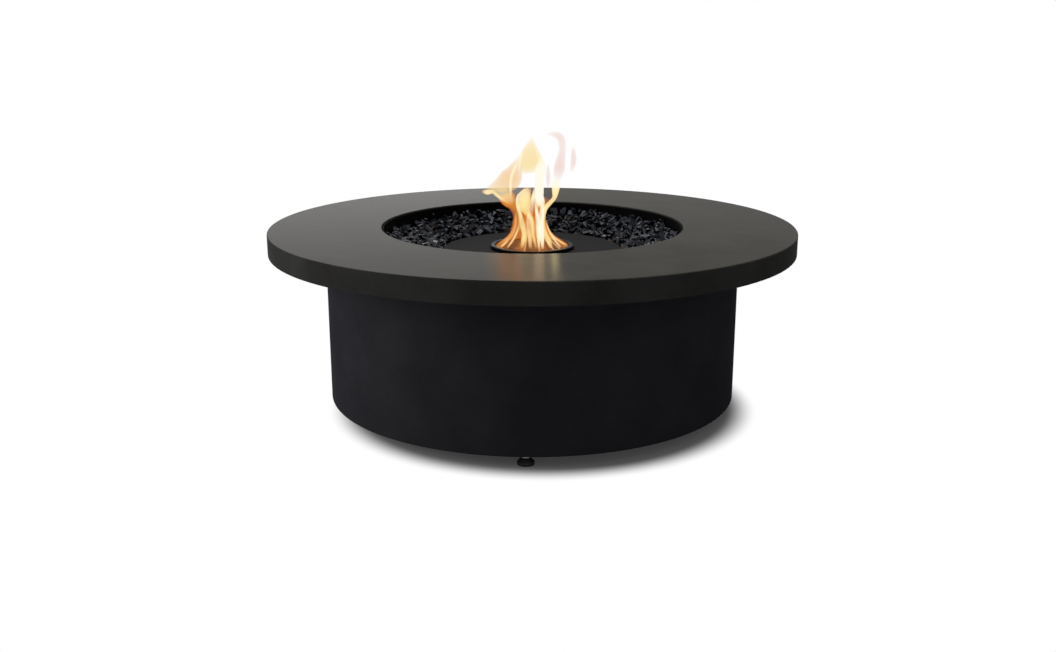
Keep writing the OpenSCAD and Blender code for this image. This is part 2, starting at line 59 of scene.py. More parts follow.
IMAGE_W = 1056  # px
FOCAL = 1146  # px
SENSOR = 36  # mm
CAMERA_BACK = 2.7585  # m from the table's axis
CAMERA_UP = 0.9174  # m
CAMERA_DOWN = 14.96  # degrees
CAMERA_ROUND = 1.62  # degrees round the table, so that the front foot shows left of the middle
CAMERA_LEFT = 0.213  # degrees


def place_camera():
    """Camera at the photograph's viewing angle."""
    data = bpy.data.cameras.new("camera")
    data.sensor_width = SENSOR
    data.sensor_fit = "HORIZONTAL"
    data.lens = FOCAL / IMAGE_W * SENSOR
    camera = bpy.data.objects.new("camera", data)
    turn = math.radians(CAMERA_ROUND)
    camera.location = (CAMERA_BACK * math.sin(turn), -CAMERA_BACK * math.cos(turn), CAMERA_UP)
    camera.rotation_euler = (math.radians(90 - CAMERA_DOWN), 0, turn + math.radians(CAMERA_LEFT))
    bpy.context.scene.collection.objects.link(camera)
    bpy.context.scene.camera = camera


# Small helpers


def colour(hex_value):
    """sRGB hex to linear RGBA."""
    parts = [int(hex_value[i : i + 2], 16) / 255 for i in (1, 3, 5)]
    return [c / 12.92 if c <= 0.04045 else ((c + 0.055) / 1.055) ** 2.4 for c in parts] + [1]


def per_mm(size):
    """Texture scale whose pattern repeats about every size millimetres."""
    return 1 / (size * MM)


def add(tree, kind, inputs=(), **settings):
    """Adds a node. inputs maps a socket to a value, or to the output that feeds it."""
    node = tree.nodes.new(kind)
    for name, value in settings.items():
        setattr(node, name, value)
    for socket, value in dict(inputs).items():
        if isinstance(value, bpy.types.NodeSocket):
            tree.links.new(value, node.inputs[socket])
        else:
            node.inputs[socket].default_value = value
    return node


def new_material(name):
    """An empty material, with its tree and its output node."""
    material = bpy.data.materials.new(name)
    material.use_nodes = True
    tree = material.node_tree
    tree.nodes.clear()
    return material, tree, tree.nodes.new("ShaderNodeOutputMaterial")


def new_piece(name, mesh, material, smooth=False):
    """An object in the scene, with one material."""
    piece = bpy.data.objects.new(name, mesh)
    piece.data.materials.append(material)
    for face in mesh.polygons:
        face.use_smooth = smooth
    bpy.context.scene.collection.objects.link(piece)
    return piece


def mesh_from(bm, name):
    """The finished mesh of a bmesh, which is freed."""
    mesh = bpy.data.meshes.new(name)
    bm.to_mesh(mesh)
    bm.free()
    return mesh


def skin(bm, loops):
    """Faces between loops of equal length, capped at both ends."""
    for one, two in zip(loops, loops[1:]):
        for k in range(len(one)):
            j = (k + 1) % len(one)
            bm.faces.new((one[k], one[j], two[j], two[k]))
    bm.faces.new(loops[0][::-1])
    bm.faces.new(loops[-1])


# Materials

MIX_A, MIX_B, MIX_OUT = 6, 7, 2  # colour sockets of a Mix node
# Sizes of patterns, in mm
CONCRETE_CLOUD = 120
CONCRETE_SAND = 3  # 0.3 to 1 mm in the real paste, drawn coarser so that it shows
PINHOLE_SPACING = 34
COATING_MARK = 45
MOULDING_PATCH = 9
GLASS_BATCH = 16
GLASS_RIPPLE = 5


def graphite_concrete(name, dark, light, grain, side_shade_tint, sheen, smoothest, roughest):
    """Fine fibre concrete, cast in a mould, honed on its upper face and sealed.
    To the eye: cloudy greys, fine sand in the paste, a few pinholes left by air and painted dark as shade, a
    sheen on the honed face alone, and sides a shade darker and cooler, partly the whole skin of the paste,
    partly painted shade."""
    material, tree, out = new_material(name)
    place = add(tree, "ShaderNodeTexCoord").outputs["Object"]
    clouds = add(
        tree,
        "ShaderNodeTexNoise",
        {"Vector": place, "Scale": per_mm(CONCRETE_CLOUD), "Detail": 5, "Roughness": 0.55},
    )
    cloud = add(
        tree,
        "ShaderNodeMapRange",
        {"Value": clouds.outputs["Fac"], "From Min": 0.34, "From Max": 0.66},
    )
    tone = add(
        tree,
        "ShaderNodeMix",
        {0: cloud.outputs[0], MIX_A: colour(dark), MIX_B: colour(light)},
        data_type="RGBA",
    )
    sand = add(
        tree,
        "ShaderNodeTexNoise",
        {"Vector": place, "Scale": per_mm(CONCRETE_SAND), "Detail": 3, "Roughness": 0.7},
    )
    speck = add(
        tree,
        "ShaderNodeMapRange",
        {"Value": sand.outputs["Fac"], "From Min": 0.56, "From Max": 0.8, "To Max": 0.5},
    )
    sanded = add(
        tree,
        "ShaderNodeMix",
        {0: speck.outputs[0], MIX_A: tone.outputs[MIX_OUT], MIX_B: colour(grain)},
        data_type="RGBA",
    )
    # Each pinhole is about 1 mm across and painted near black: painted shade in the hole
    cells = add(tree, "ShaderNodeTexVoronoi", {"Vector": place, "Scale": per_mm(PINHOLE_SPACING)})
    pinhole = add(
        tree,
        "ShaderNodeMapRange",
        {
            "Value": cells.outputs["Distance"],
            "From Min": 0.012,
            "From Max": 0.03,
            "To Min": 0.7,
            "To Max": 0,
        },
    )
    face = add(
        tree,
        "ShaderNodeMix",
        {0: pinhole.outputs[0], MIX_A: sanded.outputs[MIX_OUT], MIX_B: colour("#0c0c0c")},
        data_type="RGBA",
    )
    # Honed where the face looks up, as cast where it looks sideways or down
    facing = add(tree, "ShaderNodeSeparateXYZ", {0: add(tree, "ShaderNodeNewGeometry").outputs["Normal"]})
    cast = add(
        tree,
        "ShaderNodeMapRange",
        {"Value": facing.outputs["Z"], "From Min": 0.5, "From Max": 0.95, "To Min": 1, "To Max": 0},
    )
    # The sides' darker, cooler tint is partly the whole skin of the paste and partly painted shade, where
    # less light falls than on the top
    side_shaded_colour = add(
        tree,
        "ShaderNodeMix",
        {0: cast.outputs[0], MIX_A: face.outputs[MIX_OUT], MIX_B: colour(side_shade_tint)},
        data_type="RGBA",
        blend_type="MULTIPLY",
    )
    dull = add(
        tree,
        "ShaderNodeMapRange",
        {"Value": cast.outputs[0], "To Min": smoothest, "To Max": roughest},
    )
    rough = add(
        tree,
        "ShaderNodeMath",
        {0: clouds.outputs["Fac"], 1: 0.12, 2: dull.outputs[0]},
        operation="MULTIPLY_ADD",
    )
    relief = add(
        tree,
        "ShaderNodeMath",
        {0: pinhole.outputs[0], 1: -6.0, 2: sand.outputs["Fac"]},
        operation="MULTIPLY_ADD",
    )
    bump = add(
        tree,
        "ShaderNodeBump",
        {"Height": relief.outputs[0], "Strength": 0.25, "Distance": 0.12 * MM},
    )
    surface = add(
        tree,
        "ShaderNodeBsdfPrincipled",
        {
            "Base Color": side_shaded_colour.outputs[MIX_OUT],
            "Roughness": rough.outputs[0],
            "Normal": bump.outputs["Normal"],
            "IOR": 1.45,
            "Specular IOR Level": sheen,
        },
    )
    tree.links.new(surface.outputs[0], out.inputs["Surface"])
    return material


def baked_coating(name, base, worn, peel, smoothest, roughest, shine):
    """Sheet steel with a baked heat-resisting coating, sprayed on as powder.
    To the eye: a dark even skin with a fine orange peel and faint handling marks."""
    material, tree, out = new_material(name)
    place = add(tree, "ShaderNodeTexCoord").outputs["Object"]
    marks = add(
        tree,
        "ShaderNodeTexNoise",
        {"Vector": place, "Scale": per_mm(COATING_MARK), "Detail": 6, "Roughness": 0.6},
    )
    mark = add(
        tree,
        "ShaderNodeMapRange",
        {"Value": marks.outputs["Fac"], "From Min": 0.35, "From Max": 0.75},
    )
    tone = add(
        tree,
        "ShaderNodeMix",
        {0: mark.outputs[0], MIX_A: colour(base), MIX_B: colour(worn)},
        data_type="RGBA",
    )
    rough = add(
        tree,
        "ShaderNodeMapRange",
        {
            "Value": marks.outputs["Fac"],
            "From Min": 0.3,
            "From Max": 0.7,
            "To Min": smoothest,
            "To Max": roughest,
        },
    )
    skin_peel = add(tree, "ShaderNodeTexNoise", {"Vector": place, "Scale": per_mm(peel), "Detail": 2})
    bump = add(
        tree,
        "ShaderNodeBump",
        {"Height": skin_peel.outputs["Fac"], "Strength": 0.2, "Distance": 0.1 * MM},
    )
    surface = add(
        tree,
        "ShaderNodeBsdfPrincipled",
        {
            "Base Color": tone.outputs[MIX_OUT],
            "Roughness": rough.outputs[0],
            "Normal": bump.outputs["Normal"],
            "IOR": 1.5,
            "Specular IOR Level": shine,
        },
    )
    tree.links.new(surface.outputs[0], out.inputs["Surface"])
    return material


def bare_metal(name, bright, dull, smoothest, roughest, stretch, line):
    """Plated, turned or brushed metal. stretch draws the fine lines out along one axis.
    To the eye: a soft bright skin, with lines from the tool or a faint cloud from the bath."""
    material, tree, out = new_material(name)
    place = add(tree, "ShaderNodeTexCoord").outputs["Object"]
    drawn = add(tree, "ShaderNodeMapping", {"Vector": place, "Scale": stretch})
    lines = add(
        tree,
        "ShaderNodeTexNoise",
        {"Vector": drawn.outputs[0], "Scale": per_mm(line), "Detail": 4},
    )
    tone = add(
        tree,
        "ShaderNodeMix",
        {0: lines.outputs["Fac"], MIX_A: colour(bright), MIX_B: colour(dull)},
        data_type="RGBA",
    )
    rough = add(
        tree,
        "ShaderNodeMapRange",
        {
            "Value": lines.outputs["Fac"],
            "From Min": 0.3,
            "From Max": 0.7,
            "To Min": smoothest,
            "To Max": roughest,
        },
    )
    bump = add(
        tree,
        "ShaderNodeBump",
        {"Height": lines.outputs["Fac"], "Strength": 0.15, "Distance": 0.05 * MM},
    )
    surface = add(
        tree,
        "ShaderNodeBsdfPrincipled",
        {
            "Base Color": tone.outputs[MIX_OUT],
            "Metallic": 1,
            "Roughness": rough.outputs[0],
            "Normal": bump.outputs["Normal"],
        },
    )
    tree.links.new(surface.outputs[0], out.inputs["Surface"])
    return material


def moulded_black(name, base, bloom, texture, roughness, ior):
    """Moulded rubber or nylon with a spark-eroded mould's grain.
    To the eye: dull black with a grey bloom in patches and a fine even grain."""
    material, tree, out = new_material(name)
    place = add(tree, "ShaderNodeTexCoord").outputs["Object"]
    patches = add(
        tree,
        "ShaderNodeTexNoise",
        {"Vector": place, "Scale": per_mm(MOULDING_PATCH), "Detail": 4},
    )
    tone = add(
        tree,
        "ShaderNodeMix",
        {0: patches.outputs["Fac"], MIX_A: colour(base), MIX_B: colour(bloom)},
        data_type="RGBA",
    )
    grain = add(tree, "ShaderNodeTexNoise", {"Vector": place, "Scale": per_mm(texture), "Detail": 2})
    bump = add(
        tree,
        "ShaderNodeBump",
        {"Height": grain.outputs["Fac"], "Strength": 0.3, "Distance": 0.1 * MM},
    )
    surface = add(
        tree,
        "ShaderNodeBsdfPrincipled",
        {
            "Base Color": tone.outputs[MIX_OUT],
            "Roughness": roughness,
            "Normal": bump.outputs["Normal"],
            "IOR": ior,
            "Specular IOR Level": 0.3,
        },
    )
    tree.links.new(surface.outputs[0], out.inputs["Surface"])
    return material


def porous_mineral(name, base, pale, pit_shade_colour, pore, depth, roughness):
    """Lava rock or pressed ceramic fibre: a dry open surface full of small pores.
    To the eye: no shine, and pits darkened with painted shade between paler crumbs."""
    material, tree, out = new_material(name)
    place = add(tree, "ShaderNodeTexCoord").outputs["Object"]
    crumbs = add(tree, "ShaderNodeTexNoise", {"Vector": place, "Scale": per_mm(pore * 4), "Detail": 5})
    tone = add(
        tree,
        "ShaderNodeMix",
        {0: crumbs.outputs["Fac"], MIX_A: colour(base), MIX_B: colour(pale)},
        data_type="RGBA",
    )
    cells = add(tree, "ShaderNodeTexVoronoi", {"Vector": place, "Scale": per_mm(pore)})
    pit_shade = add(
        tree,
        "ShaderNodeMapRange",
        {"Value": cells.outputs["Distance"], "From Min": 0.15, "From Max": 0.45, "To Min": 1, "To Max": 0},
    )
    # The pits are darkened: painted shade in the pores
    face = add(
        tree,
        "ShaderNodeMix",
        {0: pit_shade.outputs[0], MIX_A: tone.outputs[MIX_OUT], MIX_B: colour(pit_shade_colour)},
        data_type="RGBA",
    )
    bump = add(
        tree,
        "ShaderNodeBump",
        {"Height": cells.outputs["Distance"], "Strength": 0.6, "Distance": depth * MM},
    )
    surface = add(
        tree,
        "ShaderNodeBsdfPrincipled",
        {
            "Base Color": face.outputs[MIX_OUT],
            "Roughness": roughness,
            "Normal": bump.outputs["Normal"],
            "IOR": 1.5,
            "Specular IOR Level": 0.1,
        },
    )
    tree.links.new(surface.outputs[0], out.inputs["Surface"])
    return material


def broken_glass(name):
    """Tempered black glass, broken and tumbled: near black right through, with clean split faces.
    To the eye: mirror-like facets, some a little frosted by tumbling, with faint ripples from the split."""
    material, tree, out = new_material(name)
    place = add(tree, "ShaderNodeTexCoord").outputs["Object"]
    batches = add(tree, "ShaderNodeTexNoise", {"Vector": place, "Scale": per_mm(GLASS_BATCH), "Detail": 2})
    tone = add(
        tree,
        "ShaderNodeMix",
        {0: batches.outputs["Fac"], MIX_A: colour("#030406"), MIX_B: colour("#0d0f15")},
        data_type="RGBA",
    )
    rough = add(
        tree,
        "ShaderNodeMapRange",
        {"Value": batches.outputs["Fac"], "From Min": 0.35, "From Max": 0.65, "To Min": 0.16, "To Max": 0.4},
    )
    ripples = add(tree, "ShaderNodeTexNoise", {"Vector": place, "Scale": per_mm(GLASS_RIPPLE), "Detail": 1})
    bump = add(
        tree,
        "ShaderNodeBump",
        {"Height": ripples.outputs["Fac"], "Strength": 0.3, "Distance": 0.3 * MM},
    )
    surface = add(
        tree,
        "ShaderNodeBsdfPrincipled",
        {
            "Base Color": tone.outputs[MIX_OUT],
            "Roughness": rough.outputs[0],
            "Normal": bump.outputs["Normal"],
            "IOR": 1.52,
            "Specular IOR Level": 0.19,
            "Specular Tint": colour("#e8edff"),
        },
    )
    tree.links.new(surface.outputs[0], out.inputs["Surface"])
    return material


top_concrete = graphite_concrete(
    "graphite_concrete_honed_top",
    dark="#35332e",
    light="#403e39",
    grain="#54524c",
    side_shade_tint="#ebf0ff",
    sheen=0.0026,
    smoothest=0.15,
    roughest=0.6,
)
base_concrete = graphite_concrete(
    "graphite_concrete_cast_drum",
    dark="#2c2c30",
    light="#333337",
    grain="#414145",
    side_shade_tint="#ffffff",
    sheen=0.0008,
    smoothest=0.3,
    roughest=0.7,
)
tray_coating = baked_coating(
    "matt_black_coated_steel",
    base="#060606",
    worn="#0a0a0a",
    peel=1.6,
    smoothest=0.55,
    roughest=0.66,
    shine=0.01,
)
plate_coating = baked_coating(
    "dark_grey_coated_plate",
    base="#262627",
    worn="#2c2c2d",
    peel=1.6,
    smoothest=0.55,
    roughest=0.65,
    shine=0.005,
)
rim_coating = baked_coating(
    "satin_black_coated_rim",
    base="#080808",
    worn="#0d0d0c",
    peel=2.2,
    smoothest=0.24,
    roughest=0.34,
    shine=0.014,
)
zinc = bare_metal(
    "zinc_plated_steel",
    bright="#c9ccd1",
    dull="#9a9da3",
    smoothest=0.28,
    roughest=0.42,
    stretch=(1, 1, 1),
    line=1.5,
)
stainless = bare_metal(
    "heat_toned_stainless_sheet",
    bright="#a39b8f",
    dull="#6f675d",
    smoothest=0.3,
    roughest=0.45,
    stretch=(0.06, 0.06, 1),
    line=0.8,
)
brass = bare_metal(
    "turned_brass",
    bright="#c9a35a",
    dull="#a17f40",
    smoothest=0.22,
    roughest=0.34,
    stretch=(0.05, 0.05, 1),
    line=0.5,
)
rubber = moulded_black(
    "moulded_black_rubber",
    base="#0d0d0d",
    bloom="#191919",
    texture=0.8,
    roughness=0.8,
    ior=1.52,
)
nylon = moulded_black(
    "moulded_black_nylon",
    base="#0e0e0f",
    bloom="#1a1a1b",
    texture=0.6,
    roughness=0.5,
    ior=1.53,
)
fibre = porous_mineral(
    "pressed_ceramic_fibre",
    base="#d9d2c4",
    pale="#c7bda9",
    pit_shade_colour="#8d8371",
    pore=1.4,
    depth=0.4,
    roughness=0.95,
)
lava = porous_mineral(
    "crushed_lava_rock",
    base="#241f1d",
    pale="#332b28",
    pit_shade_colour="#0d0b0a",
    pore=5,
    depth=2.5,
    roughness=0.95,
)
glass = broken_glass("broken_black_glass")

slot_finish = {
    "concrete_top": top_concrete,
    "concrete_base": base_concrete,
    "black_steel": tray_coating,
    "grey_steel": plate_coating,
    "zinc_steel": zinc,
    "stainless": stainless,
    "brass": brass,
    "rubber": rubber,
    "black_nylon": nylon,
    "ceramic_fibre": fibre,
    "lava": lava,
    "fire_glass": glass,
}


def dress_nodes():
    """Gives every CAD node the finish of its slot. The rim has a smoother coat than the tray."""
    for part in frame["record"]["subparts"]:
        node = nodes[part["node"]]
        finish = rim_coating if part["node"] == "burner_rim" else slot_finish[part["material_slot"]]
        node.data.materials.clear()
        node.data.materials.append(finish)


# Fire glass

GLASS_SEED = 23
SHARDS = 4200  # dropped, of which the ones that would lie too high are left out
SHARD_SMALL, SHARD_LARGE = 12 * MM, 34 * MM
MORE_SMALL = 1.6  # power that makes small shards more common than large ones
SHARD_SHARES = ((0.44, 0.64), (0.2, 0.36), (0.1, 0.24))  # half length, width and thickness over the size
CORNER_SHARES = (0.45, 1)  # how far out each corner of a shard lies
TIP_SHARES = ((0.9, 1.15), (-0.4, 0.4), (-0.5, 0.5))  # where its point lies
SHARD_BALL = 0.3  # radius over the size of the ball that stands for a shard as it comes to rest
SHARD_INSET = 0.25  # clearance over the size between a shard's middle and the plate or the wall
SHARD_ROLL, SHARD_DIP = 0.75, 0.6  # usual tilt in radians, along and across
LAYER = 0.6  # share of two balls' reach at which they come to rest on each other
PLATE_GAP = 2 * MM
BED_DEPTH = 26 * MM
HALF_RISE = 15 * MM  # how far the fill has risen halfway to the wall, where it turns steeper


def shard_form(rng, size):
    """Corners and faces of one shard: the convex hull of a thin splinter with a point at one end."""
    half = Vector([size * rng.uniform(*shares) for shares in SHARD_SHARES])
    bm = bmesh.new()
    for signs in itertools.product((-1, 1), repeat=3):
        bm.verts.new([sign * reach * rng.uniform(*CORNER_SHARES) for sign, reach in zip(signs, half)])
    bm.verts.new([reach * rng.uniform(*shares) for reach, shares in zip(half, TIP_SHARES)])
    hull = bmesh.ops.convex_hull(bm, input=bm.verts, use_existing_faces=False)
    inside = {v for v in hull["geom_interior"] + hull["geom_unused"] if isinstance(v, bmesh.types.BMVert)}
    bmesh.ops.delete(bm, geom=list(inside), context="VERTS")
    bm.verts.index_update()
    corners = [v.co.copy() for v in bm.verts]
    faces = [[v.index for v in face.verts] for face in bm.faces]
    bm.free()
    return corners, faces


def square_of(x, y):
    """The square of the floor that holds a spot. Each is as wide as the largest shard."""
    return math.floor(x / SHARD_LARGE), math.floor(y / SHARD_LARGE)


def resting_height(x, y, ball, fill, resting):
    """Height of a shard's middle when it lies on the fill or on the shards under it."""
    z = fill + ball
    i, j = square_of(x, y)
    for di, dj in itertools.product((-1, 0, 1), repeat=2):
        for other_x, other_y, other_z, other_ball in resting.get((i + di, j + dj), ()):
            gap = (other_x - x) ** 2 + (other_y - y) ** 2
            touch = (ball + other_ball) * LAYER
            if gap < touch * touch:
                z = max(z, other_z + math.sqrt(touch * touch - gap))
    return z


def build_fire_glass():
    """Shards dropped one by one on the lava fill: each comes to rest on the fill or on the shards under it,
    and is pushed off the plate or the tray's wall where it leans over them."""
    rng = random.Random(GLASS_SEED)
    low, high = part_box("fire_glass")
    inner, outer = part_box("burner_plate")[1].x + PLATE_GAP, high.x
    half_way = (inner + outer) / 2
    z_half = low.z + HALF_RISE
    lower_slope = HALF_RISE / (half_way - inner)
    upper_slope = (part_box("lava_fill")[1].z - z_half) / (outer - half_way)
    resting = {}  # shards already at rest, by square of the floor
    corners, faces = [], []
    for _ in range(SHARDS):
        size = SHARD_SMALL + (SHARD_LARGE - SHARD_SMALL) * rng.random() ** MORE_SMALL
        inset = size * SHARD_INSET
        r = math.sqrt(rng.uniform((inner + inset) ** 2, (outer - inset) ** 2))
        a = rng.uniform(0, FULL_TURN)
        x, y = r * math.cos(a), r * math.sin(a)
        ball = size * SHARD_BALL
        fill = z_half + (r - half_way) * (lower_slope if r < half_way else upper_slope)
        z = resting_height(x, y, ball, fill, resting)
        if z + ball > fill + BED_DEPTH:
            continue
        resting.setdefault(square_of(x, y), []).append((x, y, z, ball))
        tilt = Euler((rng.gauss(0, SHARD_ROLL), rng.gauss(0, SHARD_DIP), rng.uniform(0, FULL_TURN)))
        place = Matrix.Translation((x, y, z)) @ tilt.to_matrix().to_4x4()
        shard, sides = shard_form(rng, size)
        lying = [place @ c for c in shard]
        spans = [c.xy.length for c in lying]
        push = max(0, inner - min(spans)) - max(0, max(spans) - outer)
        faces += [[len(corners) + k for k in side] for side in sides]
        corners += [c + Vector((x, y, 0)) * push / r for c in lying]
    mesh = bpy.data.meshes.new("fire_glass_bed")
    mesh.from_pydata(corners, [], faces)
    piece = new_piece("fire_glass_bed", mesh, glass)
    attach(piece, "table")
    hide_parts("fire_glass")


# Foot studs

FEET = 4
THREAD_STEPS = 24  # round one turn
ROUND_STEPS = 32
COLLAR_STEPS = 48
BALL_STEPS, BALL_LAST = 14, 10  # steps from pole to pole, and the last one below the neck
# All in mm
PITCH = 1.5
CREST, ROOT = 4.98, 4.1
THREAD_FORM = [(0, 0), (1, 0.36), (1, 0.52), (0, 0.88), (0, 1)]  # shares of the depth and of the pitch
TIP_BEVEL = 0.8
SHANK_LOW = 22.2
COLLAR_LOW, COLLAR_HIGH = 15, 21
COLLAR_FLATS = 17
COLLAR_BEVEL = 0.7
COLLAR_TURNED = 0.97  # share of the flats left at the turned-off ends
BALL = 5.5
NECK = 3.6
NECK_CONE = 0.5


def ring_of(bm, middle, z, radii):
    """One loop of corners round a stud. radii gives the distance out at each angle."""
    step = FULL_TURN / len(radii)
    spots = [Vector((r * math.cos(k * step), r * math.sin(k * step), z)) for k, r in enumerate(radii)]
    return [bm.verts.new(middle + spot * MM) for spot in spots]


def add_turned(bm, middle, profile):
    """A round form, turned from a profile of radii and heights."""
    skin(bm, [ring_of(bm, middle, z, [r] * ROUND_STEPS) for r, z in profile])


def add_collar(bm, middle):
    """Hexagon with its corners turned off at the top and bottom."""
    flat = COLLAR_FLATS / 2
    sixth = FULL_TURN / 6
    angles = [FULL_TURN * k / COLLAR_STEPS for k in range(COLLAR_STEPS)]
    hexagon = [flat / math.cos((a + sixth / 2) % sixth - sixth / 2) for a in angles]
    turned = [min(r, flat * COLLAR_TURNED) for r in hexagon]
    rows = [
        (COLLAR_LOW, turned),
        (COLLAR_LOW + COLLAR_BEVEL, hexagon),
        (COLLAR_HIGH - COLLAR_BEVEL, hexagon),
        (COLLAR_HIGH, turned),
    ]
    skin(bm, [ring_of(bm, middle, z, radii) for z, radii in rows])


def add_ball_and_neck(bm, middle, ball_z):
    """Ball that sits in the pad, and the neck and plain shank above it, turned in one piece."""
    angles = [math.pi * k / BALL_STEPS for k in range(1, BALL_LAST + 1)]
    profile = [(BALL * math.sin(a), ball_z - BALL * math.cos(a)) for a in angles]
    profile += [(NECK, COLLAR_LOW), (NECK, COLLAR_HIGH - NECK_CONE)]
    profile += [(ROOT, COLLAR_HIGH), (ROOT, SHANK_LOW + PITCH)]
    add_turned(bm, middle, profile)


def add_thread(bm, middle, top):
    """Screw thread, cut as one spiral groove. Its first and last turns run out into the shank."""
    turns = (top - SHANK_LOW) / PITCH - 1
    steps = int(turns * THREAD_STEPS)
    rows = []
    for k in range(steps + 1):
        a = FULL_TURN * k / THREAD_STEPS
        z = SHANK_LOW + PITCH * k / THREAD_STEPS
        grown = min(1, k / THREAD_STEPS, (steps - k) / THREAD_STEPS)
        depth = (CREST - ROOT) * grown
        out = Vector((math.cos(a), math.sin(a), 0))
        spots = [out * (ROOT + depth * d) + Vector((0, 0, z + PITCH * p)) for d, p in THREAD_FORM]
        rows.append([bm.verts.new(middle + spot * MM) for spot in spots])
    for one, two in zip(rows, rows[1:]):
        for k in range(len(one) - 1):
            bm.faces.new((one[k], two[k], two[k + 1], one[k + 1]))
    add_turned(bm, middle, [(ROOT, SHANK_LOW), (ROOT, top - TIP_BEVEL), (ROOT - TIP_BEVEL, top)])


def build_studs():
    """Screwed studs of the feet: ball, neck, hexagon collar and a thread along the shank."""
    for k in range(1, FEET + 1):
        node = f"foot_stud_{k}"
        low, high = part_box(node)
        middle = Vector(((low.x + high.x) / 2, (low.y + high.y) / 2, 0))
        bm = bmesh.new()
        add_ball_and_neck(bm, middle, low.z / MM + BALL)
        add_collar(bm, middle)
        add_thread(bm, middle, high.z / MM)
        bmesh.ops.recalc_face_normals(bm, faces=bm.faces)
        stud = new_piece(f"threaded_stud_{k}", mesh_from(bm, f"threaded_stud_{k}"), zinc)
        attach(stud, f"screw_{k}")
        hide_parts(node)


# Flame

FLAME_SEED = 5
TONGUE_STEPS = 30
TONGUE_SIDES = 16
FADE_STEPS = 6  # steps over which a tongue gets thinner towards each end
TIP_NARROWING = 0.8  # share of its angle that a tongue of the ring loses on the way to its tip
LEAN_CURVE = 1.6  # above 1, a tongue leans in most near its foot
# All in mm, from the middle of the rim's top
MOUTH = 86
LEAN_END = 110  # height at which the tongues have leaned in to the burner's axis
LEAST_WIDTH = 1
ON_MOUTH, ON_BACK = "front", "back"  # depth of a tongue whose foot is on the edge of the mouth
